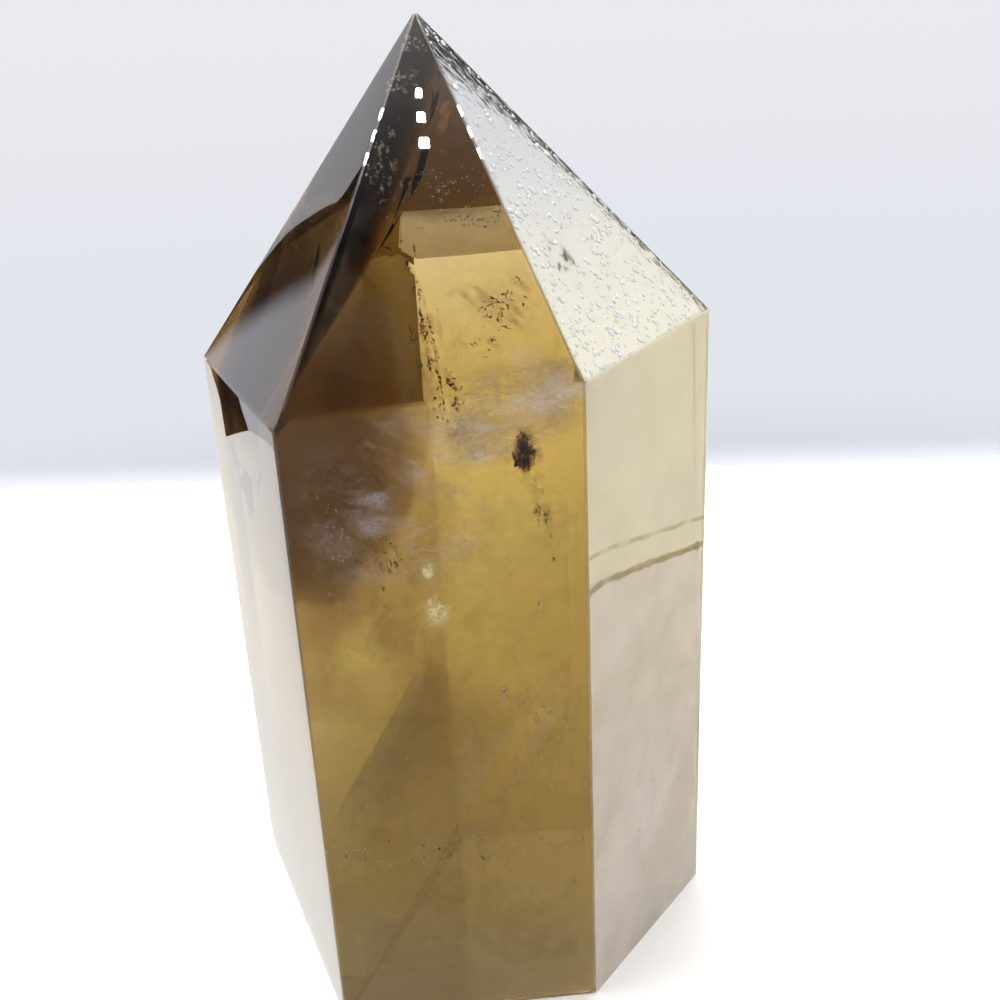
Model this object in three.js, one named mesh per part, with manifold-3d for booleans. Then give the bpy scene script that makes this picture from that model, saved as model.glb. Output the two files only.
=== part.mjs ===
// A polished crystal point: one six-sided prism of quartz, ground by hand and so
// a little uneven, with six facets that slope up to a slightly worn tip and a
// flat sawn base. Millimetres, +Z up, the wide front side faces -Y, and the
// origin is at the middle of the base's bounding box.
import * as THREE from "three";
import { mergeVertices } from "three/addons/utils/BufferGeometryUtils.js";
import Module from "manifold-3d";

const wasm = await Module();
wasm.setup();

// Driving dimensions. Distances are measured from the upright line through the
// tip, which isn't quite in the middle of the base.
const TIP_HEIGHT = 139.5; // where the six tip facets would meet
const TIP_WEAR = 0.55; // how much of that sharp tip is worn away
const EDGE_FLAT = 0.5; // width of the narrow polished flat along each edge
const BASE_FLAT = 0.7; // the same around the base

// One row for each side, in order round the crystal: the direction that its
// upright side faces (degrees, 0 is +X and 90 is +Y), how far that side is from
// the tip's line, and the direction and slope of the tip facet above it.
const SIDES = [
  { faces: -90, distance: 32.7, tipFaces: -92.3, tipSlope: 53.9 },
  { faces: -42, distance: 34.5, tipFaces: -46.4, tipSlope: 51.1 },
  { faces: 18, distance: 34.2, tipFaces: 24.5, tipSlope: 52.3 },
  { faces: 90, distance: 39.1, tipFaces: 91, tipSlope: 51.8 },
  { faces: 127, distance: 32.1, tipFaces: 127, tipSlope: 56.0 },
  { faces: -161, distance: 30.5, tipFaces: -161.5, tipSlope: 57.35 },
];

// Small shell-shaped chips on the base's rim. Each one is centred just outside
// the corner between a side and the next one round.
const CHIPS = [
  { corner: 0, radius: 2.2, depth: 0.9 },
  { corner: 5, radius: 1.8, depth: 0.7 },
  { corner: 4, radius: 3.0, depth: 1.1 },
];

const BLOCK_SIZE = 4 * TIP_HEIGHT; // a wheel that grinds away all beyond a face
const UP = new THREE.Vector3(0, 0, 1);

// A three.js geometry as a manifold-3d solid.
function solidFrom(geometry) {
  const bare = geometry.clone();
  bare.deleteAttribute("normal");
  bare.deleteAttribute("uv");
  const merged = mergeVertices(bare, 1e-5);
  return new wasm.Manifold(
    new wasm.Mesh({
      numProp: 3,
      vertProperties: new Float32Array(merged.attributes.position.array),
      triVerts: new Uint32Array(merged.index.array),
    }),
  );
}

// A manifold-3d solid as a three.js geometry.
function geometryFrom(solid) {
  const mesh = solid.getMesh();
  const geometry = new THREE.BufferGeometry();
  const positions = new Float32Array(mesh.vertProperties);
  geometry.setAttribute("position", new THREE.BufferAttribute(positions, 3));
  geometry.setIndex(new THREE.BufferAttribute(mesh.triVerts, 1));
  geometry.computeVertexNormals();
  return geometry;
}

// The horizontal unit vector that faces a direction in degrees.
function level(degrees) {
  const angle = THREE.MathUtils.degToRad(degrees);
  return new THREE.Vector3(Math.cos(angle), Math.sin(angle), 0);
}

// The upright side of a row, as an outward normal and its distance from the
// origin at the foot of the tip's line.
function sideFace(row) {
  return { normal: level(row.faces), distance: row.distance };
}

// The tip facet of a row, which passes through the point where all six meet.
function tipFace(row) {
  const slope = THREE.MathUtils.degToRad(row.tipSlope);
  const normal = level(row.tipFaces).multiplyScalar(Math.sin(slope));
  normal.addScaledVector(UP, Math.cos(slope));
  return { normal, distance: TIP_HEIGHT * normal.z };
}

// The narrow flat of a given width along the edge where two faces meet.
function edgeFace(first, second, width) {
  const normal = first.normal.clone().add(second.normal);
  const length = normal.length();
  const halfTurn = first.normal.angleTo(second.normal) / 2;
  const depth = (width / 2) * Math.tan(halfTurn);
  return {
    normal: normal.divideScalar(length),
    distance: (first.distance + second.distance) / length - depth,
  };
}

// Grinds away all of a solid that lies beyond a face.
function grind(solid, face) {
  const block = new THREE.BoxGeometry(BLOCK_SIZE, BLOCK_SIZE, BLOCK_SIZE);
  const turn = new THREE.Quaternion().setFromUnitVectors(UP, face.normal);
  const middle = face.normal.clone();
  middle.multiplyScalar(face.distance + BLOCK_SIZE / 2);
  block.applyQuaternion(turn).translate(middle.x, middle.y, middle.z);
  return solid.subtract(solidFrom(block));
}

// The point of the base's rim where two neighbouring sides meet.
function baseCorner(first, second) {
  const a = first.normal;
  const b = second.normal;
  const spread = a.x * b.y - a.y * b.x;
  const x = (first.distance * b.y - second.distance * a.y) / spread;
  const y = (second.distance * a.x - first.distance * b.x) / spread;
  return new THREE.Vector3(x, y, 0);
}

// Breaks a shallow shell of stone out of one corner of the base.
function chip(solid, { corner, radius, depth }) {
  const next = (corner + 1) % SIDES.length;
  const point = baseCorner(sideFace(SIDES[corner]), sideFace(SIDES[next]));
  const outward = point.clone().normalize().sub(UP).normalize();
  const centre = point.addScaledVector(outward, radius - depth);
  const ball = new THREE.SphereGeometry(radius, 20, 12);
  ball.translate(centre.x, centre.y, centre.z);
  return solid.subtract(solidFrom(ball));
}

function makeCrystal() {
  const base = { normal: UP.clone().negate(), distance: 0 };
  const worn = { normal: UP.clone(), distance: TIP_HEIGHT - TIP_WEAR };
  const faces = [base, worn];
  SIDES.forEach((row, index) => {
    const next = SIDES[(index + 1) % SIDES.length];
    const side = sideFace(row);
    const tip = tipFace(row);
    faces.push(side);
    faces.push(tip);
    faces.push(edgeFace(side, sideFace(next), EDGE_FLAT));
    faces.push(edgeFace(side, tip, EDGE_FLAT));
    faces.push(edgeFace(tip, tipFace(next), EDGE_FLAT));
    faces.push(edgeFace(side, base, BASE_FLAT));
  });
  const rough = new THREE.BoxGeometry(TIP_HEIGHT, TIP_HEIGHT, 2 * TIP_HEIGHT);
  const shaped = faces.reduce(grind, solidFrom(rough));
  return CHIPS.reduce(chip, shaped);
}

const geometry = geometryFrom(makeCrystal());
geometry.computeBoundingBox();
const box = geometry.boundingBox;
geometry.translate(-(box.min.x + box.max.x) / 2, -(box.min.y + box.max.y) / 2, 0);

const smokyCitrine = new THREE.MeshStandardMaterial({
  color: 0xa88a48,
  roughness: 0.06,
  metalness: 0,
  transparent: true,
  opacity: 0.6,
});

const crystal = new THREE.Mesh(geometry, smokyCitrine);
crystal.name = "crystal_point";

const group = new THREE.Group();
group.add(crystal);
export default group;
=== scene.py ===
# The looks of a polished smoky citrine point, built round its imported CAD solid: the
# stone itself with rounded edges and slightly uneven polish, the smoke, clouds,
# veils and flecks sealed in it, and a small white studio round it. Metres, +Z up.
import math
import random

import bmesh
import bpy
import numpy as np
from mathutils import Matrix, Quaternion, Vector, noise


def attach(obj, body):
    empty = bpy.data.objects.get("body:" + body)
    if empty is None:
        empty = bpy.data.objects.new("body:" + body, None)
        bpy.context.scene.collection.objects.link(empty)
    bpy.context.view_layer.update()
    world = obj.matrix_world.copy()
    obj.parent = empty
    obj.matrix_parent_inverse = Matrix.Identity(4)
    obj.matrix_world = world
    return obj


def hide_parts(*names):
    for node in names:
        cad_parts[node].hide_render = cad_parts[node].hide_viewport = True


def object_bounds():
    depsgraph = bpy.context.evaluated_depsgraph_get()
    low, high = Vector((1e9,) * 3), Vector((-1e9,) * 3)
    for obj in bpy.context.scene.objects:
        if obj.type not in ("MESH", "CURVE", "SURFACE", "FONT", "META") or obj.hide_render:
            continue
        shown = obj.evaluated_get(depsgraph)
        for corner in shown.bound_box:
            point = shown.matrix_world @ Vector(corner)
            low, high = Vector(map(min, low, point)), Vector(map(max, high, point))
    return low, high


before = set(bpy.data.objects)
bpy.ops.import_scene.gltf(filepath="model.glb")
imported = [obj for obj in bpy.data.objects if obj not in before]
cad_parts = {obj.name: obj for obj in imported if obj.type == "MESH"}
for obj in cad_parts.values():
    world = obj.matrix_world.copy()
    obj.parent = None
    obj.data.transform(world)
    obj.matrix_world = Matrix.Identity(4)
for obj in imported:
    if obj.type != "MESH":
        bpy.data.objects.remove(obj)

CAD_BOX = [list(corner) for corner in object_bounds()]
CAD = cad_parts["crystal_point"]
MM = 0.001
UP = Vector((0, 0, 1))

# Edges and polish of the stone.
FACET_AREA = 100 * MM * MM  # a face larger than this is one of the thirteen facets
WELD = 0.002 * MM
FLAT_ANGLE = math.radians(0.6)
ON_FACET = 0.02 * MM  # a point nearer to a facet than this lies on it
SHORTEST_EDGE = 0.9 * MM
SHARP_ANGLE = math.radians(10)
EDGE_ROUNDING = 0.30 * MM  # at most: the narrow flats beside an edge leave it less
RIM = 0.12 * MM  # strip round each facet that takes up the turn to the rounded edge
POLISH_GRID = 1.6 * MM
EDGE_STEP = 3.0 * MM  # the strips along the edges are cut this short
ROLL_OFF_WIDTH = 4.5 * MM  # hand polishing lets a facet fall away towards its edges
ROLL_OFF_DEPTH = 0.05 * MM
WAVINESS = 0.012 * MM
EDGE_WEAR = 0.02  # roughness of the rounded edges
BEAD_COUNT = 1700
BEAD_HEIGHT = 0.11 * MM
BEAD_EDGE = 0.6 * MM  # the polish sinks below the beads over this much of its rim
BEAD_SEED = 5
FILM_GAP = 0.01 * MM  # between the beaded film and the polish below it
VEIL_LIFT = 0.004  # a veil, and the growth lines, lie this far (mm) outside a side's film
LINE_LIFT = 0.007
MARGIN = 0.35 * MM  # sealed things stay this far inside the polished faces
INWARD_STEPS = 14  # enough to bring any point back inside a corner

# The stone's own colour, as plain absorption.
STONE_COLOUR = (0.785, 0.665, 0.34)
STONE_DENSITY = 40.0


# ------------------------------ facets

class Facet:
    """One flat face of the stone, with a level and a rising direction along it."""

    def __init__(self, normal, centre):
        self.normal = normal.normalized()
        self.centre = centre
        self.across = UP.cross(self.normal)
        if self.across.length < 0.1:
            self.across = Vector((1, 0, 0))
        self.across.normalize()
        self.rising = self.normal.cross(self.across)


def plain_solid():
    """The CAD solid with each flat face in one piece."""
    bm = bmesh.new()
    bm.from_mesh(CAD.data)
    bmesh.ops.remove_doubles(bm, verts=bm.verts, dist=WELD)
    bmesh.ops.dissolve_limit(bm, angle_limit=FLAT_ANGLE, verts=bm.verts, edges=bm.edges)
    return bm


def read_facets():
    bm = plain_solid()
    facets = [
        Facet(face.normal.copy(), face.calc_center_median())
        for face in bm.faces
        if face.calc_area() > FACET_AREA
    ]
    bm.free()
    return facets


FACETS = read_facets()
TIP = max((v.co for v in CAD.data.vertices), key=lambda point: point.z).copy()


def facing(x, y, z):
    """The facet that faces a direction most nearly."""
    direction = Vector((x, y, z)).normalized()
    return max(FACETS, key=lambda facet: facet.normal.dot(direction))


FRONT = facing(0, -1, 0)
FRONT_TIP = facing(0, -0.8, 0.6)
RIGHT = facing(0.74, -0.67, 0)
RIGHT_TIP = facing(0.55, -0.55, 0.63)
LEFT_TIP = facing(-0.8, -0.27, 0.54)
RIGHT_BACK_TIP = facing(0.72, 0.33, 0.61)
BACK_TIP = facing(0, 0.79, 0.62)


def under(facet, across, height, depth):
    """A point below a facet: across is measured level from the tip's upright line,
    height from the base, both on the facet, and depth goes straight in (all mm)."""
    foot = Vector((TIP.x, TIP.y, 0)) + facet.across * (across * MM)
    foot.z = height * MM
    level = Vector((facet.normal.x, facet.normal.y, 0)).normalized()
    reach = facet.normal.dot(facet.centre - foot) / facet.normal.dot(level)
    return foot + level * reach - facet.normal * (depth * MM)


def kept_inside(point, margin=MARGIN):
    """Moves a point that lies too near a facet, or beyond it, back into the stone."""
    for _ in range(INWARD_STEPS):
        for facet in FACETS:
            beyond = facet.normal.dot(point - facet.centre) + margin
            if beyond > 0:
                point = point - facet.normal * beyond
    return point


# ------------------------------ making pieces

def add_object(name, mesh, material):
    made = bpy.data.objects.new(name, mesh)
    bpy.context.scene.collection.objects.link(made)
    made.data.materials.append(material)
    return made


def add_piece(name, mesh, material):
    """A piece of the stone: it rides on the stone's body."""
    made = add_object(name, mesh, material)
    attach(made, "root")
    return made


def mesh_from(name, bm):
    mesh = bpy.data.meshes.new(name)
    bm.to_mesh(mesh)
    bm.free()
    for polygon in mesh.polygons:
        polygon.use_smooth = True
    return mesh


def turned(spin, tilt=0.0, roll=0.0):
    """A turn in degrees: roll about +Y, then tilt about +X, then spin about +Z."""
    spin, tilt, roll = (math.radians(angle) for angle in (spin, tilt, roll))
    return Matrix.Rotation(spin, 3, "Z") @ Matrix.Rotation(tilt, 3, "X") @ Matrix.Rotation(roll, 3, "Y")


# ------------------------------ materials

class Nodes:
    """A short way to write the node tree of a material or a world."""

    def __init__(self, owner, kind="Material"):
        self.owner = owner
        owner.use_nodes = True
        self.tree = owner.node_tree
        self.tree.nodes.clear()
        self.output = self.tree.nodes.new("ShaderNodeOutput" + kind)

    def add(self, kind, settings=None, **inputs):
        """Adds a node. An input is a value or another node's output, and n3 is the
        fourth input."""
        node = self.tree.nodes.new("ShaderNode" + kind)
        for key, value in (settings or {}).items():
            setattr(node, key, value)
        for key, value in inputs.items():
            numbered = key[0] == "n" and key[1:].isdigit()
            socket = node.inputs[int(key[1:]) if numbered else key.replace("_", " ")]
            if isinstance(value, bpy.types.NodeSocket):
                self.tree.links.new(value, socket)
            else:
                socket.default_value = value
        return node

    def ease(self, value, start, end, low=0.0, high=1.0):
        """Goes smoothly from low to high while the value goes from start to end."""
        smooth = {"interpolation_type": "SMOOTHSTEP"}
        return self.add("MapRange", smooth, Value=value, n1=start, n2=end, n3=low, n4=high).outputs[0]

    def times(self, first, second):
        return self.add("Math", {"operation": "MULTIPLY"}, n0=first, n1=second).outputs[0]

    def blend(self, share, first, second):
        """A colour that goes from the first to the second as the share goes from 0 to 1."""
        return self.add("Mix", {"data_type": "RGBA"}, n0=share, n6=first, n7=second).outputs[2]

    def cover(self, alpha, surface):
        """A surface that hides only as much as alpha says."""
        clear = self.add("BsdfTransparent")
        return self.add("MixShader", n0=alpha, n1=clear.outputs[0], n2=surface.outputs[0])

    def finish(self, surface=None, volume=None):
        if surface:
            self.tree.links.new(surface.outputs[0], self.output.inputs["Surface"])
        if volume:
            self.tree.links.new(volume.outputs[0], self.output.inputs["Volume"])
        return self.owner


def material_nodes(name):
    material = bpy.data.materials.new(name)
    material.cycles.emission_sampling = "NONE"
    return Nodes(material)


def opaque(colour):
    return (*colour, 1.0)


def stone_material():
    nodes = material_nodes("smoky_citrine")
    place = nodes.add("TexCoord").outputs["Object"]
    smudges = nodes.add("TexNoise", Vector=place, Scale=60.0, Detail=4.0).outputs["Fac"]
    clean = nodes.add("MapRange", Value=smudges, n1=0.45, n2=0.75, n3=0.0, n4=0.012)
    worn = nodes.add("Attribute", {"attribute_name": "worn"}).outputs["Fac"]
    rough = nodes.add("MapRange", Value=worn, n3=clean.outputs[0], n4=EDGE_WEAR)
    scuffs = nodes.add("TexNoise", Vector=place, Scale=1500.0, Detail=3.0)
    height = nodes.times(scuffs.outputs["Fac"], worn)
    bump = nodes.add("Bump", Height=height, Strength=0.02, Distance=0.02 * MM)
    glass = nodes.add(
        "BsdfPrincipled",
        Base_Color=(1, 1, 1, 1),
        Roughness=rough.outputs[0],
        IOR=1.544,
        Transmission_Weight=1.0,
        Normal=bump.outputs[0],
    )
    tint = nodes.add("VolumeAbsorption", Color=opaque(STONE_COLOUR), Density=STONE_DENSITY)
    return nodes.finish(glass, tint)


def smoke_material(name, scatter=None, absorb=None, forward=0.3):
    """A soft zone: scatter and absorb are each a colour and a density."""
    nodes = material_nodes(name)
    clear = nodes.add("BsdfTransparent", Color=(1, 1, 1, 1))
    parts = []
    if scatter:
        colour, density = scatter
        parts.append(nodes.add("VolumeScatter", Color=opaque(colour), Density=density, Anisotropy=forward))
    if absorb:
        colour, density = absorb
        parts.append(nodes.add("VolumeAbsorption", Color=opaque(colour), Density=density))
    volume = parts[0]
    if len(parts) == 2:
        volume = nodes.add("AddShader", n0=parts[0].outputs[0], n1=parts[1].outputs[0])
    return nodes.finish(clear, volume)


def wisp_material(
    name, colour, scale, low, high, strength, stretch=(1, 1, 1), seed=0.0, glow=0.5, least=0.0, rim=0.5,
    torn_edges=0.55, askew=(0.12, 0.08, 0.6),
):
    """Torn, soft-edged cloud on a thin sheet. It fades out towards the sheet's rim, and
    least is how much of it shows where the cloud is torn away."""
    nodes = material_nodes(name)
    place = nodes.add("TexCoord")
    shifted = nodes.add(
        "Mapping", Vector=place.outputs["Object"], Location=(seed, -seed, seed * 0.7),
        Rotation=askew, Scale=stretch,
    )
    coarse = nodes.add(
        "TexNoise", Vector=shifted.outputs[0], Scale=scale, Detail=6.0, Roughness=torn_edges, Distortion=0.1
    )
    torn = nodes.ease(coarse.outputs["Fac"], low, high, least)
    centre = (0.5, 0.5, 0)
    centred = nodes.add("VectorMath", {"operation": "SUBTRACT"}, n0=place.outputs["UV"], n1=centre)
    away = nodes.add("VectorMath", {"operation": "LENGTH"}, n0=centred.outputs[0])
    fade = nodes.ease(away.outputs["Value"], rim * 0.4, rim, strength, 0.0)
    matt = nodes.add("BsdfDiffuse", Color=opaque(colour))
    through = nodes.add("BsdfTranslucent", Color=opaque(colour))
    both = nodes.add("MixShader", n0=glow, n1=matt.outputs[0], n2=through.outputs[0])
    return nodes.finish(nodes.cover(nodes.times(torn, fade), both))


def mineral_material(name, dark, light, scale=900.0, roughness=0.5):
    """A solid fleck: two tones of one mineral in fine grain."""
    nodes = material_nodes(name)
    place = nodes.add("TexCoord").outputs["Object"]
    grain = nodes.add("TexNoise", Vector=place, Scale=scale, Detail=5.0)
    tones = nodes.add("MapRange", Value=grain.outputs["Fac"], n1=0.35, n2=0.65)
    colour = nodes.blend(tones.outputs[0], opaque(dark), opaque(light))
    surface = nodes.add("BsdfPrincipled", Base_Color=colour, Roughness=roughness)
    return nodes.finish(surface)


# ------------------------------ the stone

def cut_grid(bm, directions, label, layer, spacing):
    """Divides the face with a label into cells by parallel cuts across each direction."""
    for direction in directions:
        faces = [face for face in bm.faces if face[layer] == label]
        reach = [direction.dot(v.co) for face in faces for v in face.verts]
        cuts = max(1, int((max(reach) - min(reach)) / spacing))
        for step in range(1, cuts):
            level = min(reach) + (max(reach) - min(reach)) * step / cuts
            faces = [face for face in bm.faces if face[layer] == label]
            near = []
            for face in faces:
                along = [direction.dot(v.co) for v in face.verts]
                if min(along) < level < max(along):
                    near.append(face)
            edges = list({edge for face in near for edge in face.edges})
            verts = list({vert for face in near for vert in face.verts})
            bmesh.ops.bisect_plane(
                bm, geom=near + edges + verts, dist=1e-8, plane_co=direction * level, plane_no=direction
            )


def edge_distances(points, facet):
    """How far each point of a facet is from the facet's nearest edge."""
    nearest = np.full(len(points), 1.0)
    for other in FACETS:
        lean = facet.normal.dot(other.normal)
        if other is facet or lean < -0.99:
            continue
        inward = -(points - np.array(other.centre)) @ np.array(other.normal)
        nearest = np.minimum(nearest, inward / math.sqrt(1 - lean * lean))
    return np.maximum(nearest, 0)


def polish(points, facet, index):
    """How far hand polishing has lowered each point of a facet."""
    from_edge = edge_distances(points, facet)
    roll = np.clip(1 - from_edge / ROLL_OFF_WIDTH, 0, 1) ** 2 * ROLL_OFF_DEPTH
    swell = [noise.noise(Vector(p) * 70 + Vector((index * 7.3, 0, 0))) for p in points]
    return roll + (1 + np.array(swell)) * WAVINESS * np.clip(from_edge / ROLL_OFF_WIDTH, 0, 1)


def make_stone():
    bm = plain_solid()
    edges = [
        edge for edge in bm.edges
        if len(edge.link_faces) == 2
        and edge.calc_length() > SHORTEST_EDGE
        and edge.calc_face_angle(0) > SHARP_ANGLE
    ]
    bmesh.ops.bevel(
        bm, geom=edges, offset=EDGE_ROUNDING, segments=2, profile=0.5, affect="EDGES", clamp_overlap=True
    )
    large = [face for face in bm.faces if face.calc_area() > FACET_AREA]
    bmesh.ops.inset_individual(bm, faces=large, thickness=RIM)
    layer = bm.faces.layers.int.new("facet")
    longest = []
    for face in bm.faces:
        edge = max(face.edges, key=lambda edge: edge.calc_length())
        if face.calc_area() <= FACET_AREA and edge.calc_length() > 2 * EDGE_STEP:
            longest.append((edge.verts[1].co - edge.verts[0].co).normalized())
            face[layer] = len(FACETS) + len(longest)
    for index, direction in enumerate(longest):
        cut_grid(bm, [direction], len(FACETS) + index + 1, layer, EDGE_STEP)
    for face in bm.faces:
        if face.calc_area() > FACET_AREA:
            best = max(range(len(FACETS)), key=lambda i: FACETS[i].normal.dot(face.normal))
            face[layer] = best + 1
    for index, facet in enumerate(FACETS):
        cut_grid(bm, (facet.across, facet.rising), index + 1, layer, POLISH_GRID)
    bmesh.ops.recalc_face_normals(bm, faces=bm.faces)
    bm.verts.ensure_lookup_table()
    points = np.array([vert.co for vert in bm.verts])
    moved = points.copy()
    worn = np.ones(len(points))
    for index, facet in enumerate(FACETS):
        normal = np.array(facet.normal)
        chosen = np.abs((points - np.array(facet.centre)) @ normal) < ON_FACET
        worn[chosen] = 0
        own = points[chosen]
        lowered = polish(own, facet, index)
        if facet is RIGHT_TIP:
            inner = np.clip(edge_distances(own, facet) / BEAD_EDGE, 0, 1)
            lowered = lowered + (BEAD_HEIGHT + FILM_GAP) * inner
        moved[chosen] -= lowered[:, None] * normal
    for vert, place in zip(bm.verts, moved):
        vert.co = place
    mesh = mesh_from("stone", bm)
    mask = mesh.attributes.new("worn", "FLOAT", "POINT")
    mask.data.foreach_set("value", worn.astype(np.float32))
    return mesh


stone = add_piece("stone", make_stone(), stone_material())
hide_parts("crystal_point")


# ------------------------------ zones in the stone

def add_zone(name, centre, radii, turn, material, ripple, seed, finer=4):
    """A closed, softly rippled body of smoke or milk inside the stone (radii in mm)."""
    bm = bmesh.new()
    bmesh.ops.create_icosphere(bm, subdivisions=finer, radius=1.0)
    for vert in bm.verts:
        bulge = noise.fractal(vert.co * 1.6 + Vector((seed * 3.1, 0, 0)), 0.8, 2.0, 4)
        place = vert.co * (1 + ripple * bulge)
        place = turn @ Vector((place.x * radii[0], place.y * radii[1], place.z * radii[2])) * MM
        vert.co = kept_inside(centre + place)
    return add_piece(name, mesh_from(name, bm), material)


def inner_block(margin, cuts=()):
    """The stone's own shape a margin inside its facets, cut further by (place, normal)."""
    bm = bmesh.new()
    bmesh.ops.create_cube(bm, size=0.5)
    walls = [(facet.centre - facet.normal * margin, facet.normal) for facet in FACETS]
    for place, normal in walls + list(cuts):
        everything = bm.verts[:] + bm.edges[:] + bm.faces[:]
        bmesh.ops.bisect_plane(bm, geom=everything, plane_co=place, plane_no=normal, clear_outer=True)
        bmesh.ops.holes_fill(bm, edges=[edge for edge in bm.edges if edge.is_boundary])
    bmesh.ops.recalc_face_normals(bm, faces=bm.faces)
    return bm


def add_layer(name, material, top, lean=(0, 0), ripple=2.0, seed=0):
    """A body that fills the stone from its base up to a rippled, leaning top (mm)."""
    crest = Vector((lean[0], lean[1], 1)).normalized()
    bm = inner_block(MARGIN, [(Vector((TIP.x, TIP.y, top * MM)), crest)])
    label = bm.faces.layers.int.new("facet")
    cap = max(bm.faces, key=lambda face: face.normal.dot(crest))
    cap[label] = 1
    level = Facet(crest, cap.calc_center_median())
    cut_grid(bm, (level.across, level.rising), 1, label, 2.0 * MM)
    cap_verts = {vert for face in bm.faces if face[label] == 1 for vert in face.verts}
    for vert in cap_verts:
        wave = noise.fractal(vert.co * 60 + Vector((0, 0, seed * 2.3)), 0.9, 2.0, 4)
        vert.co = kept_inside(vert.co + UP * (wave * ripple * MM))
    return add_piece(name, mesh_from(name, bm), material)


def add_lining(name, facet, depth, material, cuts=(), spacing=2.0):
    """A thin sheet just under a whole facet, or the part of it left by further cuts."""
    bm = inner_block(depth * MM, cuts)
    label = bm.faces.layers.int.new("facet")
    kept = max(bm.faces, key=lambda face: face.normal.dot(facet.normal))
    kept[label] = 1
    bmesh.ops.delete(bm, geom=[face for face in bm.faces if face is not kept], context="FACES")
    cut_grid(bm, (facet.across, facet.rising), 1, label, spacing * MM)
    for vert in bm.verts:
        vert.co = Vector([min(max(value, low), high) for value, low, high in zip(vert.co, *CAD_BOX)])
    uv = bm.loops.layers.uv.new("sheet")
    for face in bm.faces:
        for loop in face.loops:
            offset = loop.vert.co - facet.centre
            loop[uv].uv = (offset.dot(facet.across) * 5 + 0.5, offset.dot(facet.rising) * 5 + 0.5)
    return add_piece(name, mesh_from(name, bm), material)


def lying_on(facet, lean=0.0):
    """A turn whose x runs level along a facet, y goes in, and z rises along it."""
    turn = Matrix((facet.across, -facet.normal, facet.rising)).transposed()
    return turn @ Matrix.Rotation(math.radians(lean), 3, "Y")


STRAIGHT = Matrix.Identity(3)

haze = smoke_material("thin_haze", scatter=((0.97, 0.93, 0.70), 6.0), absorb=((0.98, 0.92, 0.22), 12.0))
milk = smoke_material("milk", scatter=((0.90, 0.83, 0.54), 20.0), absorb=((0.60, 0.52, 0.36), 3.0))
deep_milk = smoke_material("deep_milk", scatter=((0.42, 0.36, 0.27), 30.0), absorb=((0.44, 0.36, 0.26), 26.0))
smoke = smoke_material("brown_smoke", scatter=((0.74, 0.62, 0.48), 14.0), absorb=((0.55, 0.42, 0.26), 48.0))
thin_smoke = smoke_material("thin_smoke", absorb=((0.56, 0.44, 0.30), 20.0))
dense_smoke = smoke_material("dense_smoke", absorb=((0.42, 0.34, 0.28), 480.0))
tip_smoke = smoke_material("tip_smoke", scatter=((0.62, 0.55, 0.52), 14.0), absorb=((0.42, 0.32, 0.24), 62.0))

add_layer("haze", haze, 84, lean=(-0.5, -0.2), ripple=4.0, seed=1)
add_layer("lower_milk", milk, 54, lean=(-0.35, -0.25), ripple=5.0, seed=2)
add_layer("base_milk", deep_milk, 19, lean=(0.2, -0.4), ripple=5.0, seed=5)
for name, centre, radii, turn, material, ripple, seed in (
    ("smoke_left", Vector((-0.024, -0.004, 0.088)), (17, 30, 30), turned(0, 8, -6), smoke, 0.2, 3),
    ("smoke_wide", Vector((-0.024, -0.012, 0.080)), (21, 28, 40), turned(0, 10, -6), thin_smoke, 0.3, 8),
    ("smoke_front", under(FRONT, -14, 86, 10), (11, 10, 26), turned(0, 0, 14), smoke, 0.25, 6),
    (
        "smoke_left_skin", under(LEFT_TIP, 0, 108, 3.5), (17, 2.8, 38), lying_on(LEFT_TIP), dense_smoke,
        0.12, 9,
    ),
    ("smoke_tip", Vector((TIP.x, TIP.y - 0.002, 0.128)), (18, 17, 17.5), STRAIGHT, tip_smoke, 0.12, 4),
):
    add_zone(name, centre, radii, turn, material, ripple, seed)

# ------------------------------ clouds, veils and flecks

def add_sheet(name, centre, size, turn, material, wave=1.0, seed=0, cells=36, margin=MARGIN):
    """A thin waved sheet in the stone (mm). Its own x is across and its own z is up."""
    width, height = size
    bm = bmesh.new()
    uv = bm.loops.layers.uv.new("sheet")
    bmesh.ops.create_grid(bm, x_segments=cells, y_segments=cells, size=0.5)
    for face in bm.faces:
        for loop in face.loops:
            loop[uv].uv = (loop.vert.co.x + 0.5, loop.vert.co.y + 0.5)
    for vert in bm.verts:
        x, z = vert.co.x * width, vert.co.y * height
        y = wave * noise.fractal(Vector((x * 0.09, z * 0.09, seed * 1.7)), 0.9, 2.0, 4)
        vert.co = kept_inside(centre + turn @ Vector((x, y, z)) * MM, margin)
    return add_piece(name, mesh_from(name, bm), material)


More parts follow.
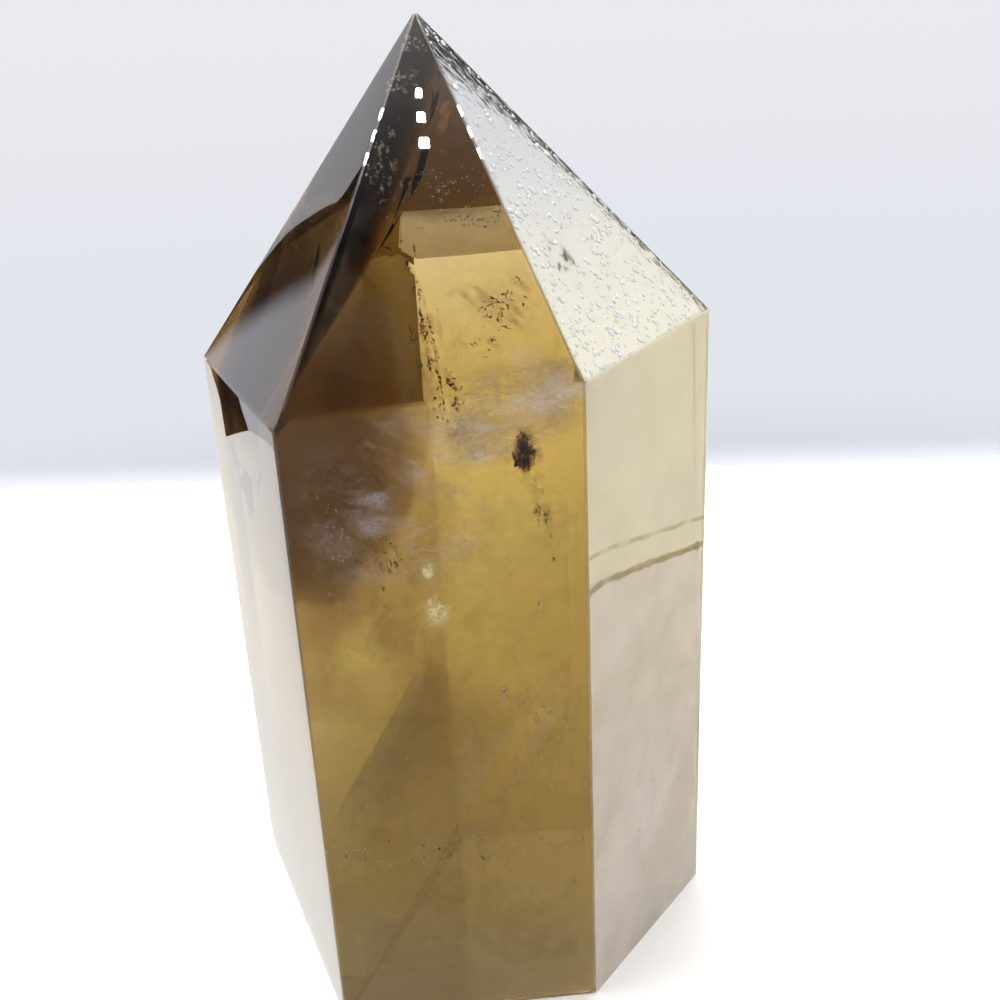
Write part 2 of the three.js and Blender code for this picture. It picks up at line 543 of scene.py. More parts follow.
def add_flecks(
    name, centre, spread, turn, count, sizes, material, slim, seed, align=0.3, clumps=0, margin=MARGIN * 2,
):
    """Many small shards in a cluster: sizes is the smallest and largest (mm), slim is
    how many times longer than wide they are, align how far they stray from upright.
    With clumps they gather round that many points of the cluster."""
    rng = random.Random(seed)
    bm = bmesh.new()
    gathered = [Vector([rng.gauss(0, 0.5) * reach for reach in spread]) for _ in range(clumps)]
    for _ in range(count):
        offset = Vector([rng.gauss(0, 0.5) * reach for reach in spread])
        if clumps:
            offset = rng.choice(gathered) + offset * rng.uniform(0.02, 0.22)
        middle = kept_inside(centre + turn @ offset * MM, margin)
        long = (sizes[0] + (sizes[1] - sizes[0]) * rng.random() ** 2) * MM / 2
        wide = long / (slim * rng.uniform(0.6, 1.5))
        lean = Vector((rng.gauss(0, align), rng.gauss(0, align), 1)).normalized()
        own = turn @ lean.to_track_quat("Z", "Y").to_matrix() @ Matrix.Rotation(rng.uniform(0, 6.3), 3, "Z")
        flat = rng.uniform(0.25, 0.6)
        ring = [
            bm.verts.new(middle + own @ Vector((
                math.cos(a) * wide * rng.uniform(0.5, 1.3),
                math.sin(a) * wide * flat,
                rng.uniform(-0.5, 0.5) * long,
            )))
            for a in (0.3, 1.5, 2.6, 3.9, 5.2)
        ]
        ends = [bm.verts.new(middle + own @ Vector((0, 0, side * long))) for side in (-1, 1)]
        for index, vert in enumerate(ring):
            after = ring[(index + 1) % len(ring)]
            bm.faces.new((vert, after, ends[1]))
            bm.faces.new((after, vert, ends[0]))
    bmesh.ops.recalc_face_normals(bm, faces=bm.faces)
    return add_piece(name, mesh_from(name, bm), material)


def add_blobs(name, centre, spread, turn, count, sizes, material, seed=0, shape=(1.5, 0.6, 1.0)):
    """A handful of small soft zones in a cluster, as one piece."""
    rng = random.Random(seed)
    bm = bmesh.new()
    for index in range(count):
        offset = Vector([rng.gauss(0, 0.5) * reach for reach in spread])
        middle = centre + turn @ offset * MM
        size = rng.uniform(*sizes) * MM
        made = bmesh.ops.create_icosphere(bm, subdivisions=3, radius=1.0)
        for vert in made["verts"]:
            bulge = 1 + 0.5 * noise.fractal(vert.co * 1.5 + Vector((index * 5.0, seed, 0)), 0.8, 2.0, 4)
            place = Vector([value * scale for value, scale in zip(vert.co, shape)])
            vert.co = kept_inside(middle + turn @ place * size * bulge)
    return add_piece(name, mesh_from(name, bm), material)


lilac = (0.86, 0.82, 0.90)
cream = (0.93, 0.88, 0.76)
on_front = lying_on(FRONT)
FIRST_SHEET = 12
SHEET_GAP = 0.0005


def sheet_depth(seed):
    """The depth (mm) of a sheet on the front's polish: no two of them coincide."""
    return (seed - FIRST_SHEET) * SHEET_GAP


# The lilac cloud that crosses the upper right of the front, and the veil below it.
cloud_soft = smoke_material("cloud_soft", scatter=((0.97, 0.95, 0.99), 220.0))
cloud = wisp_material("cloud", lilac, 130, 0.36, 0.72, 0.55, stretch=(0.7, 1, 1.4), seed=0.3, torn_edges=0.7)
feathers = wisp_material(
    "feathers", (0.90, 0.86, 0.96), 230, 0.44, 0.70, 0.52, stretch=(0.6, 1, 1.2), seed=0.7, torn_edges=0.75
)
veil = wisp_material("veil", lilac, 100, 0.42, 0.85, 0.5, stretch=(1, 1, 1.6), seed=1.9)
place = under(FRONT, 15, 96, 3)
add_blobs("cloud_core", place, (3.5, 1, 2), lying_on(FRONT, -20), 7, (0.5, 1.1), cloud_soft, seed=2)
add_sheet("cloud_near", under(FRONT, 9, 91, 4.5), (26, 13), lying_on(FRONT, -20), cloud, seed=3)
add_sheet("cloud_far", under(FRONT, 8, 90, 9), (28, 14), lying_on(FRONT, -20), cloud, seed=4)
for name, facet, across, height, size, lean, seed in (
    ("feathers_tip", FRONT_TIP, 13.8, 98.6, (12, 8), -12, 13),
    ("feathers_right", FRONT, 10.5, 93.0, (19, 9), -14, 15),
    ("feathers_middle", FRONT, 1.5, 89.0, (21, 9), -24, 16),
    ("feathers_left", FRONT, -11.0, 80.5, (11, 8), -34, 17),
):
    place = under(facet, across, height, sheet_depth(seed))
    add_sheet(name, place, size, lying_on(facet, lean), feathers, wave=0, seed=seed, margin=0)
fog = wisp_material(
    "fog", (0.60, 0.52, 0.47), 210, 0.40, 0.76, 0.52, stretch=(0.7, 1, 1.3), seed=6.6, torn_edges=0.75
)
for name, across, height, size, lean, seed in (
    ("fog_high", -8.0, 88.5, (26.0, 11.0), -16, 27),
    ("fog_left", -11.0, 79.0, (20.0, 24.0), -40, 28),
    ("fog_middle", -1.0, 77.5, (18.0, 14.0), -50, 29),
):
    place = under(FRONT, across, height, sheet_depth(seed))
    add_sheet(name, place, size, lying_on(FRONT, lean), fog, wave=0, seed=seed, margin=0)
add_sheet("veil_down", under(FRONT, -4, 82, 7), (36, 15), lying_on(FRONT, -32), veil, wave=2.0, seed=5)

# Painted highlights and glow: pale yellow sheets that stand for the bright spots and glows where the light
# from below is caught in the stone.
gleam = wisp_material("gleam", (1.0, 0.95, 0.60), 500, 0.36, 0.62, 0.95, seed=3.3, torn_edges=0.7)
glow_tone = wisp_material("yellow_glow", (0.88, 0.72, 0.22), 120, 0.30, 0.75, 0.45, seed=4.4)
for name, across, height, size, material, seed in (
    ("gleam_high", -3.7, 72.5, (2.2, 3.2), gleam, 18),
    ("gleam_low", -3.0, 66.8, (4.2, 6.0), gleam, 19),
    ("glow_left", -13.5, 61.5, (8.0, 12.0), glow_tone, 20),
    ("glow_right", 9.5, 79.0, (14.0, 16.0), glow_tone, 24),
    ("glow_low", -13.0, 55.0, (11.0, 20.0), glow_tone, 26),
    ("glow_middle", -1.0, 68.0, (13.0, 15.0), glow_tone, 25),
):
    place = under(FRONT, across, height, sheet_depth(seed))
    add_sheet(name, place, size, lying_on(FRONT), material, wave=0, seed=seed, cells=10, margin=0)

# The brown mineral grain right of the middle, and dark slivers round it.
bark = mineral_material("bark", (0.012, 0.008, 0.004), (0.11, 0.065, 0.025), 1400)
soot = mineral_material("soot", (0.012, 0.007, 0.003), (0.07, 0.04, 0.018), 1800)
umber = mineral_material("umber", (0.08, 0.05, 0.02), (0.30, 0.19, 0.08), 1800)
grain = mineral_material("tan_grain", (0.45, 0.30, 0.21), (0.90, 0.76, 0.64), 1500)
frost = mineral_material("frost", (0.75, 0.73, 0.70), (0.95, 0.94, 0.92), 1500, roughness=0.35)
brown_veil = wisp_material("brown_veil", (0.10, 0.055, 0.02), 300, 0.45, 0.62, 0.7, seed=2.7)
eye_brown = smoke_material("eye_brown", absorb=((0.40, 0.20, 0.04), 1300.0))
smudge_brown = smoke_material("smudge_brown", absorb=((0.52, 0.34, 0.14), 620.0))
eye_place = under(FRONT, 9.6, 85.5, 8)
add_zone("eye_body", eye_place, (1.35, 1.0, 2.5), lying_on(FRONT, -6), eye_brown, 0.3, 12, finer=3)
add_flecks("eye", eye_place, (1.1, 0.9, 2.2), on_front, 60, (0.5, 1.9), bark, 1.6, seed=11)
add_sheet("eye_halo", under(FRONT, 9.6, 85.3, 8.6), (6, 9), on_front, brown_veil, wave=0.3, seed=6)
for name, across, height, depth, spread, count, lean, seed in (
    ("slivers_right", 11.4, 78, 9, (1.0, 1.0, 6), 60, -12, 12),
    ("slivers_left", -9.5, 73, 7, (2.4, 1.0, 6), 60, -22, 13),
    ("slivers_middle", 1.5, 90, 11, (2.0, 2.0, 7), 60, -24, 14),
    ("slivers_upper", -1.8, 101, 9, (1.4, 1.5, 10), 110, -7, 15),
    ("slivers_yellow", 7.0, 101, 10, (7.0, 2.0, 5), 60, -40, 16),
):
    place = under(FRONT, across, height, depth)
    turn = lying_on(FRONT, lean)
    add_flecks(name, place, spread, turn, 4 * count, (0.05, 0.8), umber, 2.4, seed, 0.7, 24)
    smudge = f"smudge_{name}"
    add_blobs(smudge, place, spread, turn, 9, (0.3, 0.9), smudge_brown, seed=seed, shape=(0.6, 0.5, 2.2))

# Crumbly tan grains near the tip.
for name, across, height, spread, count, seed in (
    ("crumbs_top", -0.6, 135.5, (2.2, 0.4, 1.6), 160, 21),
    ("crumbs_high", -1.9, 131.0, (2.6, 0.5, 2.0), 300, 25),
    ("crumbs_low", -5.0, 121.5, (1.9, 0.7, 6.0), 460, 22),
    ("crumbs_right", 6.0, 114.5, (6.5, 0.8, 1.2), 260, 23),
    ("crumbs_middle", 2.0, 118, (5.0, 0.8, 3.5), 200, 24),
):
    place = under(FRONT_TIP, across, height, 0.9)
    add_flecks(name, place, spread, lying_on(FRONT_TIP), count, (0.08, 0.6), grain, 1.5, seed, 1.0, 24)

# Frosty and sooty flecks strewn through the stone.
upright = Vector((TIP.x, TIP.y, 0))
for name, centre, spread, turn, count, sizes, material, slim, seed, align, clumps in (
    ("frost_left", (-15.5, 76, 5), (2.2, 1.5, 5), on_front, 420, (0.05, 0.45), frost, 2.4, 31, 0.8, 30),
    ("frost_strewn", 0.075, (46, 46, 95), STRAIGHT, 900, (0.08, 0.36), frost, 1.6, 32, 1.0, 0),
    ("soot_strewn", 0.060, (46, 46, 80), STRAIGHT, 320, (0.08, 0.45), soot, 2.0, 33, 1.0, 0),
    ("frost_belt", (0, 28.0, 1.5), (28, 1, 4.5), on_front, 380, (0.08, 0.65), frost, 1.6, 34, 1.0, 40),
    ("soot_belt", (0, 28.5, 1.5), (26, 1, 2.6), on_front, 80, (0.12, 0.6), soot, 1.8, 35, 1.0, 0),
    ("frost_low_right", (10, 44, 3), (4, 2, 12), on_front, 420, (0.08, 0.8), frost, 2.6, 36, 0.4, 30),
):
    place = under(FRONT, *centre) if turn is on_front else upright + UP * centre
    add_flecks(name, place, spread, turn, count, sizes, material, slim, seed, align, clumps)
place = under(RIGHT, 3, 36, 0.06)
turn = lying_on(RIGHT)
add_flecks("soot_side", place, (11, 0, 22), turn, 130, (0.10, 0.45), soot, 1.6, 37, 0.4, 26, margin=0.06 * MM)
soot_smear = wisp_material(
    "soot_smear", (0.08, 0.075, 0.06), 420, 0.50, 0.64, 0.75, stretch=(1.6, 1.6, 0.45), seed=2.6
)
place = under(RIGHT_TIP, -1.0, 108, 0)
turn = lying_on(RIGHT_TIP, -12)
add_sheet("soot_tip_side", place, (5.5, 9.0), turn, soot_smear, wave=0, seed=38, cells=10, margin=0)

# Milky wisps in the lower half.
pale_veil = wisp_material("pale_veil", cream, 95, 0.46, 0.80, 0.7, stretch=(1.6, 1.6, 0.7), seed=4.1)
tumbled = (0.7, 0.5, 0.25)  # turns the cloud well away from the right side's own plane
white_veil = wisp_material(
    "white_veil", (0.97, 0.96, 0.96), 90, 0.46, 0.85, 0.40, stretch=(1.5, 1.5, 0.8), seed=5.3, askew=tumbled
)
for name, across, height, depth, size, lean, wave, seed in (
    ("veil_low_right", 7, 42, 8, (20, 40), 0, 2.0, 7),
    ("veil_low_left", -7, 34, 12, (26, 44), 18, 2.5, 8),
    ("veil_mid", -6, 62, 14, (30, 34), -30, 2.5, 9),
):
    place = under(FRONT, across, height, depth)
    add_sheet(name, place, size, lying_on(FRONT, lean), pale_veil, wave, seed)
place = under(RIGHT, 4, 34, -VEIL_LIFT)
outside = -1.25 * VEIL_LIFT * MM
add_sheet("veil_side_low", place, (26, 58), lying_on(RIGHT), white_veil, wave=0, seed=10, margin=outside)
add_sheet("veil_side_high", under(RIGHT, 8, 50, 5), (20, 40), lying_on(RIGHT), white_veil, wave=1.2, seed=11)


def edge_veil_material(name, colour, strength):
    """A tint that is strongest along one side of a sheet and dies away from it."""
    nodes = material_nodes(name)
    place = nodes.add("TexCoord")
    across = nodes.add("SeparateXYZ", Vector=place.outputs["UV"])
    away = nodes.ease(across.outputs["X"], 0.0, 1.0, strength, 0.0)
    ends = nodes.add("Math", {"operation": "PINGPONG"}, n0=across.outputs["Y"], n1=0.5)
    fade = nodes.add("MapRange", Value=ends.outputs[0], n1=0.0, n2=0.22)
    cloudy = nodes.add("TexNoise", Vector=place.outputs["Object"], Scale=90.0, Detail=6.0)
    patchy = nodes.add("MapRange", Value=cloudy.outputs["Fac"], n1=0.35, n2=0.6, n3=0.45, n4=1.0)
    alpha = nodes.times(nodes.times(away, fade.outputs[0]), patchy.outputs[0])
    matt = nodes.add("BsdfDiffuse", Color=opaque(colour))
    return nodes.finish(nodes.cover(alpha, matt))


# An older, greyer crystal inside the lower half shows as one sharp slanting edge.
phantom_tone = edge_veil_material("phantom_tone", (0.42, 0.33, 0.23), 0.55)
place = under(FRONT, -1.8, 40.1, 6)
add_sheet("phantom", place, (24, 30), lying_on(FRONT, 30.6), phantom_tone, wave=0.5, seed=12)


def beaded_film_material(name, low_colour, high_colour, facet, beyond):
    """A fine pale film on a facet. Near-black marks of painted refraction, standing for the dark stone seen
    through its beads, break it up towards the edge it shares with the facet beyond, and towards the tip."""
    nodes = material_nodes(name)
    place = nodes.add("TexCoord").outputs["Object"]
    reach = nodes.add("VectorMath", {"operation": "DOT_PRODUCT"}, n0=place, n1=beyond.normal)
    limit = beyond.normal.dot(beyond.centre)
    from_edge = nodes.add("MapRange", Value=reach.outputs["Value"], n1=limit, n2=limit - 6 * MM)
    height = nodes.add("SeparateXYZ", Vector=place).outputs["Z"]
    from_tip = nodes.add("MapRange", Value=height, n1=TIP.z - 3 * MM, n2=TIP.z - 22 * MM)
    nearest = nodes.times(from_edge.outputs[0], from_tip.outputs[0])
    edge = facet.normal.cross(beyond.normal).normalized()
    along = nodes.add("VectorMath", {"operation": "DOT_PRODUCT"}, n0=place, n1=edge * 500)
    over = edge.cross(facet.normal)
    aside = nodes.add("VectorMath", {"operation": "DOT_PRODUCT"}, n0=place, n1=over * 2400)
    drawn = nodes.add("CombineXYZ", X=along.outputs["Value"], Y=aside.outputs["Value"])
    streaks = nodes.add("TexNoise", Vector=drawn.outputs[0], Scale=1.0, Detail=3.0)
    shifted = nodes.add("Math", {"operation": "ADD"}, n0=nearest, n1=streaks.outputs["Fac"])
    clean = nodes.ease(shifted.outputs[0], 0.48, 0.80)
    climb = nodes.add("MapRange", Value=height, n1=TIP.z - 50 * MM, n2=TIP.z - 15 * MM)
    pale = nodes.blend(climb.outputs[0], opaque(low_colour), opaque(high_colour))
    # where the film is torn it takes a near black: painted refraction of the dark stone seen through the
    # beads
    colour = nodes.blend(clean, opaque((0.04, 0.04, 0.045)), pale)
    alpha = nodes.add("MapRange", Value=clean, n3=0.70, n4=0.84)
    matt = nodes.add("BsdfDiffuse", Color=colour)
    return nodes.finish(nodes.cover(alpha.outputs[0], matt))


def droplet_material():
    """Small glossy beads, half clear, with painted shade darkening them round their foot."""
    nodes = material_nodes("droplet")
    place = nodes.add("TexCoord").outputs["Object"]
    grain = nodes.add("TexNoise", Vector=place, Scale=500.0, Detail=2.0)
    pale = nodes.add("MapRange", Value=grain.outputs["Fac"], n1=0.35, n2=0.65, n3=0.88, n4=1.0)
    foot = nodes.add("Attribute", {"attribute_name": "foot"}).outputs["Fac"]
    # painted shade: the beads darken towards their foot, where they rise from the film
    tone = nodes.add("MapRange", Value=foot, n3=pale.outputs[0], n4=0.30)
    colour = nodes.add("CombineColor", n0=tone.outputs[0], n1=tone.outputs[0], n2=tone.outputs[0])
    surface = nodes.add("BsdfPrincipled", Base_Color=colour.outputs[0], Roughness=0.15, IOR=1.7, Alpha=0.75)
    return nodes.finish(surface)


def add_beads(name, facet, rng, material):
    """Low domes of different sizes on a facet's film, none higher than its plane. The attribute foot marks
    where they rise from the film, where their material paints shade."""
    corners = [v.co for v in CAD.data.vertices if abs((v.co - facet.centre).dot(facet.normal)) < ON_FACET]
    spans = []
    for direction in (facet.across, facet.rising):
        along = [(corner - facet.centre).dot(direction) for corner in corners]
        spans.append((min(along), max(along)))
    bm = bmesh.new()
    low = bm.verts.layers.float.new("foot")
    for _ in range(BEAD_COUNT):
        radius = (0.12 + 0.24 * rng.random() ** 2) * MM * (1.6 if rng.random() < 0.10 else 1.0)
        u, v = (rng.uniform(*span) for span in spans)
        middle = facet.centre + facet.across * u + facet.rising * v - facet.normal * BEAD_HEIGHT
        if edge_distances(np.array([middle]), facet)[0] < radius * 1.6:
            continue
        height = min(BEAD_HEIGHT * 0.95, radius * 0.4)
        lean = rng.uniform(-0.5, 0.5)
        long = facet.rising * math.cos(lean) + facet.across * math.sin(lean)
        short = long.cross(facet.normal)
        rings = []
        for size, rise in ((1.0, 0.0), (0.8, 0.5), (0.5, 0.85)):
            rings.append([
                bm.verts.new(
                    middle + facet.normal * (height * rise)
                    + long * (radius * 1.25 * size * math.cos(step * math.pi / 4))
                    + short * (radius * size * math.sin(step * math.pi / 4))
                )
                for step in range(8)
            ])
        for vert in rings[0]:
            vert[low] = 1.0
        top = bm.verts.new(middle + facet.normal * height)
        for lower, upper in zip(rings, rings[1:]):
            for step in range(8):
                after = (step + 1) % 8
                bm.faces.new((lower[step], lower[after], upper[after], upper[step]))
        for step in range(8):
            bm.faces.new((rings[-1][step], rings[-1][(step + 1) % 8], top))
        bm.faces.new(rings[0])
    bmesh.ops.recalc_face_normals(bm, faces=bm.faces)
    return add_piece(name, mesh_from(name, bm), material)


# Mottling: brown and pale cloud all over the front, some way in.
WHOLE = 9.0  # a rim this far off lets a cloud cover its whole sheet
mottle_brown = wisp_material(
    "mottle_brown", (0.13, 0.085, 0.03), 75, 0.46, 0.85, 0.32, seed=2.2, rim=WHOLE, torn_edges=0.65
)
mottle_pale = wisp_material(
    "mottle_pale", (0.85, 0.79, 0.70), 90, 0.45, 0.85, 0.42, seed=5.9, rim=WHOLE, torn_edges=0.7
)
add_lining("mottle_front_brown", FRONT, 5.0, mottle_brown)
add_lining("mottle_front_pale", FRONT, 2.5, mottle_pale)
add_lining("mottle_tip_brown", FRONT_TIP, 4.0, mottle_brown)
add_lining("mottle_tip_pale", FRONT_TIP, 1.6, mottle_pale)
amber = wisp_material("amber", (0.80, 0.44, 0.18), 260, 0.30, 0.62, 0.80, seed=1.4)
place = under(FRONT_TIP, 3.0, 126.5, 1.2)
add_sheet("amber_streak", place, (2.2, 7.5), lying_on(FRONT_TIP, 12), amber, wave=0.2, seed=14, cells=12)

# The right side and the tip facet above it are frosted pale, on the polish and under it.
film_cream = wisp_material(
    "film_cream", (1.0, 0.99, 0.84), 40, 0.30, 0.75, 0.62, seed=3.1, least=0.8, rim=WHOLE, glow=0.3,
    askew=tumbled,
)
film_grey = wisp_material(
    "film_grey", (0.98, 0.95, 0.95), 55, 0.34, 0.70, 0.54, seed=3.3, least=0.6, rim=WHOLE, glow=0.3,
    askew=tumbled, torn_edges=0.45,
)
film_tip = beaded_film_material("film_tip", (0.98, 0.95, 0.76), (0.76, 0.77, 0.80), RIGHT_TIP, RIGHT_BACK_TIP)
growth_slope = -0.19  # the growth lines fall this much for each mm across the right side
growth_rise = (RIGHT.across * -growth_slope + UP).normalized()
growth_place = under(RIGHT, 0, 66.3, 0)
add_lining("film_right_upper", RIGHT, 0.0, film_cream, cuts=[(growth_place, -growth_rise)])
add_lining("film_right_lower", RIGHT, 0.0, film_grey, cuts=[(growth_place, growth_rise)])
add_lining("film_right_tip", RIGHT_TIP, BEAD_HEIGHT / MM, film_tip)
add_beads("beads", RIGHT_TIP, random.Random(BEAD_SEED), droplet_material())
side_frost = wisp_material(
    "side_frost", (0.93, 0.92, 0.86), 55, 0.30, 0.75, 0.52, seed=6.1, least=0.55, rim=WHOLE, askew=tumbled,
    torn_edges=0.45,
)
tip_frost = wisp_material(
    "tip_frost", (0.97, 0.97, 0.90), 75, 0.30, 0.75, 0.70, seed=7.4, least=0.85, rim=WHOLE
)
add_lining("frosted_right", RIGHT, 0.8, side_frost)
add_lining("frosted_right_tip", RIGHT_TIP, 0.8, tip_frost)

# A pale sheet along the foot of the back tip facet, a painted glow for the light that the milky lower half
# scatters up there; seen through the front one, it shows as a level tan strip.
painted_glow_strip = wisp_material(
    "painted_glow_strip", (1.0, 0.98, 0.92), 120, 0.30, 0.75, 1.0, seed=8.2, least=0.85, rim=WHOLE
)
strip_top = (Vector((0, 0, 0.0995)), Vector((0.02, 0, 1)))
add_lining("back_strip", BACK_TIP, 0.5, painted_glow_strip, cuts=[strip_top], spacing=1.5)


def add_ribbon(name, facet, width, ends, curl, material):
    """A thin line just over a facet's film between two (across, height) ends, in mm.
    Its first end curls down."""
    (start, low), (stop, high) = ends
    bm = bmesh.new()
    uv = bm.loops.layers.uv.new("sheet")
    steps = 60
    rows = []
    for step in range(steps + 1):
        t = step / steps
        across = start + (stop - start) * t
        height = low + (high - low) * t - curl * math.exp(-t * 14)
        height += 0.22 * noise.noise(Vector((across * 0.25, low, 0)))
        half = width / 2 * (0.7 + 0.6 * abs(noise.noise(Vector((across * 0.6, low, 3.0)))))
        rows.append([
            bm.verts.new(under(facet, across, height + side, -LINE_LIFT)) for side in (-half, half)
        ])
    for step in range(steps):
        face = bm.faces.new((rows[step][0], rows[step + 1][0], rows[step + 1][1], rows[step][1]))
        for loop, place in zip(face.loops, ((step, 0), (step + 1, 0), (step + 1, 1), (step, 1))):
            loop[uv].uv = (0.5, place[1])  # so the line fades towards both of its sides
    return add_piece(name, mesh_from(name, bm), material)


# Two growth lines that cross the right side.
line_tone = wisp_material("growth_line", (0.36, 0.29, 0.09), 260, 0.25, 0.60, 0.52, seed=9.3, least=0.45)
faint_tone = wisp_material(
    "faint_growth_line", (0.44, 0.36, 0.16), 260, 0.35, 0.65, 0.32, seed=9.9, least=0.25
)
add_ribbon("growth_line_low", RIGHT, 1.7, ((-12.6, 68.5), (19.3, 62.7)), 1.2, line_tone)
add_ribbon("growth_line_high", RIGHT, 1.2, ((-12.6, 72.9), (19.3, 67.1)), 0.6, faint_tone)


# ------------------------------ the studio

FLOOR_END = 0.150  # the floor fades out into the backdrop from here
FLOOR_FADE = 0.080
FLOOR_TURN = -7.0  # the box stands a little askew behind the stone (degrees)
BACK_WALL = 0.241


def stage_quad(name, corners, material):
    mesh = bpy.data.meshes.new(name)
    mesh.from_pydata(corners, [], [(0, 1, 2, 3)])
    made = add_object(name, mesh, material)
    return made


def floor_material():
    nodes = material_nodes("white_floor")
    place = nodes.add("TexCoord").outputs["Object"]
    weave = nodes.add("TexNoise", Vector=place, Scale=9.0, Detail=3.0)
    tone = nodes.add("MapRange", Value=weave.outputs["Fac"], n3=0.95, n4=0.98)
    white = nodes.add("CombineColor", n0=tone.outputs[0], n1=tone.outputs[0], n2=tone.outputs[0])
    matt = nodes.add("BsdfDiffuse", Color=white.outputs[0])
    axis = nodes.add("SeparateXYZ", Vector=place)
    near = nodes.ease(axis.outputs["Y"], FLOOR_END, FLOOR_END + FLOOR_FADE, 1.0, 0.0)
    return nodes.finish(nodes.cover(near, matt))


def lamp_material(name, colour, brightness):
    nodes = material_nodes(name)
    return nodes.finish(nodes.add("Emission", Color=opaque(colour), Strength=brightness))


def shaded_wall_material(name, colour):
    """A wall that is bright near the floor, and higher up darkens towards the corner."""
    nodes = material_nodes(name)
    axis = nodes.add("SeparateXYZ", Vector=nodes.add("TexCoord").outputs["Object"])
    corner = nodes.ease(axis.outputs["Y"], BACK_WALL - 0.032, BACK_WALL - 0.012, 1.0, 0.03)
    low = nodes.ease(axis.outputs["Z"], 0.02, 0.09, 1.0, 0.0)
    lit = nodes.add("Math", {"operation": "MAXIMUM"}, n0=corner, n1=low)
    return nodes.finish(nodes.add("Emission", Color=opaque(colour), Strength=lit.outputs[0]))


def reflected_only(card):
    """Keeps a card out of the camera's sight, but not out of the polish or the stone."""
    card.visible_camera = False
    card.visible_diffuse = False
    card.visible_shadow = False
    card.visible_volume_scatter = False
    return card


reach = 1.2
back = FLOOR_END + FLOOR_FADE
corners = [(-reach, -reach, 0), (reach, -reach, 0), (reach, back, 0), (-reach, back, 0)]
floor = stage_quad("floor", corners, floor_material())
floor.location.z = -0.02 * MM
floor.rotation_euler.z = math.radians(FLOOR_TURN)
floor.visible_glossy = False  # nor in the polish
floor.visible_transmission = False  # through the stone, the world's soft ground shows

# The light box's back wall stops short of its left wall, and the gap between them is dark.
wall_tone = (0.80, 0.81, 0.86)
gap_tone = (0.01, 0.01, 0.012)
left_tone = (0.86, 0.88, 0.95)
wall_top = 0.30
dark_gap = lamp_material("dark_gap", gap_tone, 1.0)
left_wall = shaded_wall_material("left_wall", left_tone)
for name, near, far, tone in (
    ("gap_card", (-0.171, BACK_WALL), (-0.160, BACK_WALL), dark_gap),
    ("left_card", (-0.171, -0.05), (-0.171, BACK_WALL), left_wall),
):
    (x0, y0), (x1, y1) = near, far
    corners = [(x0, y0, 0), (x1, y1, 0), (x1, y1, wall_top), (x0, y0, wall_top)]
    reflected_only(stage_quad(name, corners, tone))

# Three rows of small lamps over the front of the box. The front tip facet mirrors one
# of each row. The edges beside it mirror more of them, which make a bent strip there.
LAMP_SIZE = 2.7 * MM
LAMP_ROWS = 3
SPOT_START = 16.0  # where the edges mirror the first row, down from the tip (mm)
SPOT_STEP = 3.4
SPOT_HALF = 0.85
CAMERA_PLACE = Vector((TIP.x, TIP.y, 0)) + Vector((-2.97, -160.09, 130.83)) * MM


def add_lamp(name, place, brightness):
    lamp = bpy.data.lights.new(name, "AREA")
    lamp.size = LAMP_SIZE
    lamp.energy = brightness * math.pi * LAMP_SIZE * LAMP_SIZE
    lamp.cycles.max_bounces = 1
    placed = bpy.data.objects.new(name, lamp)
    aimed = (place - TIP).to_track_quat("Z", "Y").to_matrix().to_4x4()
    placed.matrix_world = Matrix.Translation(place) @ aimed
    placed.visible_camera = False
    placed.visible_diffuse = False
    placed.visible_transmission = False
    placed.visible_volume_scatter = False
    bpy.context.scene.collection.objects.link(placed)


def mirrored_at(point, normal, distance=0.19):
    """Where a lamp stands that is mirrored at a point of the stone with this normal."""
    view = (point - CAMERA_PLACE).normalized()
    return point + (view - normal * (2 * view.dot(normal))) * distance


def add_strip(name, beside, row, material):
    """The strip of one row's lamps that the edge between the front tip facet and the
    one beside it mirrors."""
    edge = FRONT_TIP.normal.cross(beside.normal).normalized()
    edge = edge if edge.z < 0 else -edge
    place = TIP + edge * (SPOT_START + SPOT_STEP * row) * MM
    sides = []
    for step in range(7):
        normal = FRONT_TIP.normal.lerp(beside.normal, 0.2 + 0.1 * step).normalized()
        sides.append([
            mirrored_at(place + edge * (half * MM), normal) for half in (-SPOT_HALF, SPOT_HALF)
        ])
    corners = [corner for side in sides for corner in side]
    quads = [(2 * step, 2 * step + 1, 2 * step + 3, 2 * step + 2) for step in range(6)]
    mesh = bpy.data.meshes.new(name)
    mesh.from_pydata(corners, [], quads)
    strip = add_object(name, mesh, material)
    reflected_only(strip).visible_transmission = False


strip_light = lamp_material("strip_light", (1.0, 0.99, 0.96), 70.0)
for row in range(LAMP_ROWS):
    add_lamp(f"lamp_{row}", Vector((-0.008, -0.067 - 0.0075 * row, 0.300)), 1900)
    add_strip(f"strip_left_{row}", LEFT_TIP, row, strip_light)
    add_strip(f"strip_right_{row}", RIGHT_TIP, row, strip_light)


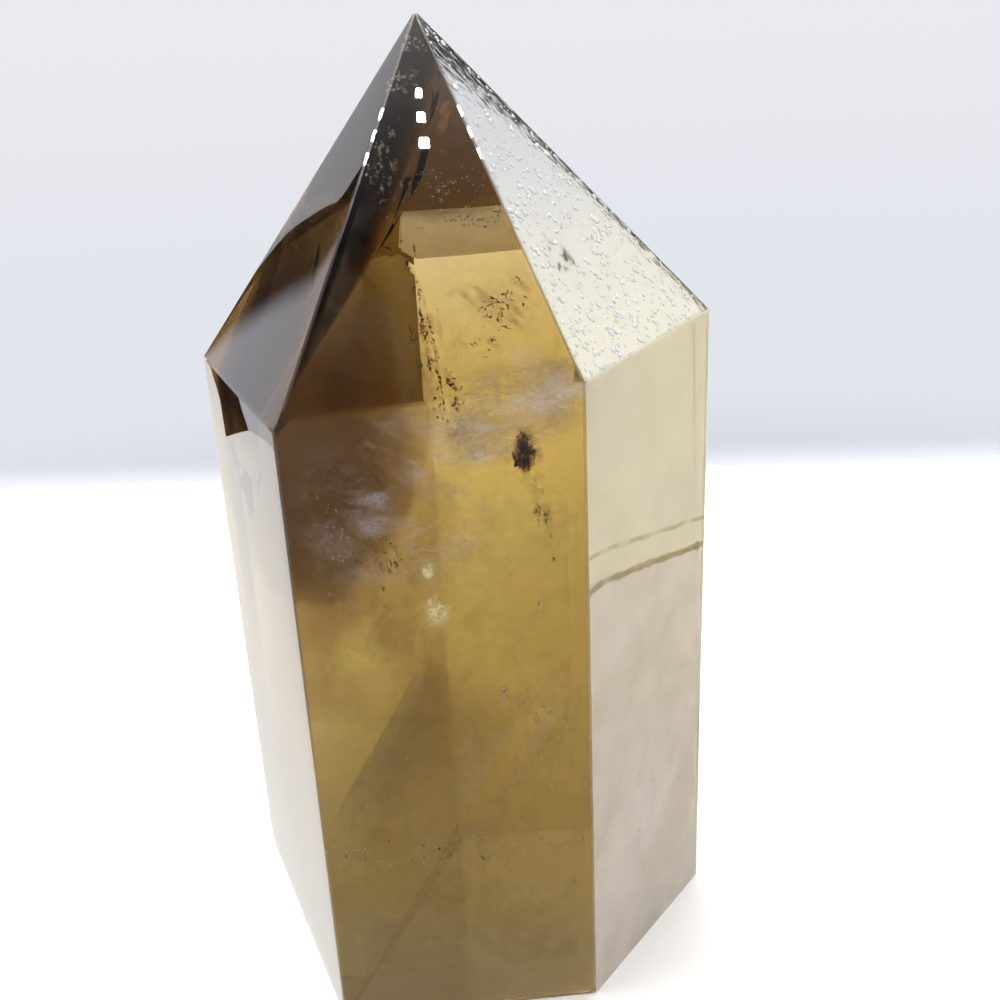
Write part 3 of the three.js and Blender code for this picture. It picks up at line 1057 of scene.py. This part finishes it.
def make_world():
    """A bright soft ceiling, pale walls, a dim room beyond the open front, and a painted shadow straight
    below, where the stone shades the floor under it.
    """
    world = bpy.data.worlds.new("studio")
    bpy.context.scene.world = world
    world.cycles.sampling_method = "NONE"
    nodes = Nodes(world, "World")
    axis = nodes.add("SeparateXYZ", Vector=nodes.add("TexCoord").outputs["Generated"])

    def between(socket, start, end, low, high):
        return nodes.blend(nodes.ease(axis.outputs[socket], start, end), low, high)

    walls = between("Z", 0.30, 0.90, opaque(wall_tone), opaque((4.2, 4.2, 4.2)))
    right_wall = between("X", 0.35, 0.75, walls, opaque((1.15, 1.14, 1.10)))
    room = between("Y", -0.45, 0.05, opaque((0.05, 0.05, 0.055)), right_wall)
    paper = between("Y", -0.85, -0.30, opaque((0.30, 0.30, 0.31)), opaque((1.35, 1.35, 1.35)))
    ground = between("Z", -0.35, -0.05, paper, room)
    # painted shadow: straight down the world darkens, for the floor that the stone shades
    with_painted_shadow_below = between("Z", -0.995, -0.90, opaque((0.25, 0.24, 0.23)), ground)
    low_backdrop = between("Z", -0.33, -0.25, opaque((0.68, 0.71, 0.78)), opaque((0.76, 0.785, 0.84)))
    backdrop = between("Z", -0.20, 0.06, low_backdrop, opaque((0.815, 0.825, 0.865)))
    seen = nodes.add("LightPath").outputs["Is Camera Ray"]
    nodes.finish(nodes.add("Background", Color=nodes.blend(seen, with_painted_shadow_below, backdrop)))


make_world()


# ------------------------------ camera

def make_camera():
    camera = bpy.data.cameras.new("camera")
    camera.lens = 39.6
    camera.sensor_width = 36.0
    made = bpy.data.objects.new("camera", camera)
    bpy.context.scene.collection.objects.link(made)
    turn, pitch, roll = math.radians(3.98), math.radians(21.11), math.radians(-2.76)
    level = math.cos(pitch)
    look = Vector((math.sin(turn) * level, math.cos(turn) * level, -math.sin(pitch)))
    made.rotation_mode = "QUATERNION"
    made.rotation_quaternion = look.to_track_quat("-Z", "Y") @ Quaternion((0, 0, 1), roll)
    made.location = CAMERA_PLACE
    bpy.context.scene.camera = made


make_camera()
scene = bpy.context.scene
scene.view_settings.view_transform = "Standard"
scene.cycles.max_bounces = 22
scene.cycles.transmission_bounces = 22
scene.cycles.glossy_bounces = 12
scene.cycles.transparent_max_bounces = 64
scene.cycles.volume_bounces = 6
scene.cycles.blur_glossy = 0.0
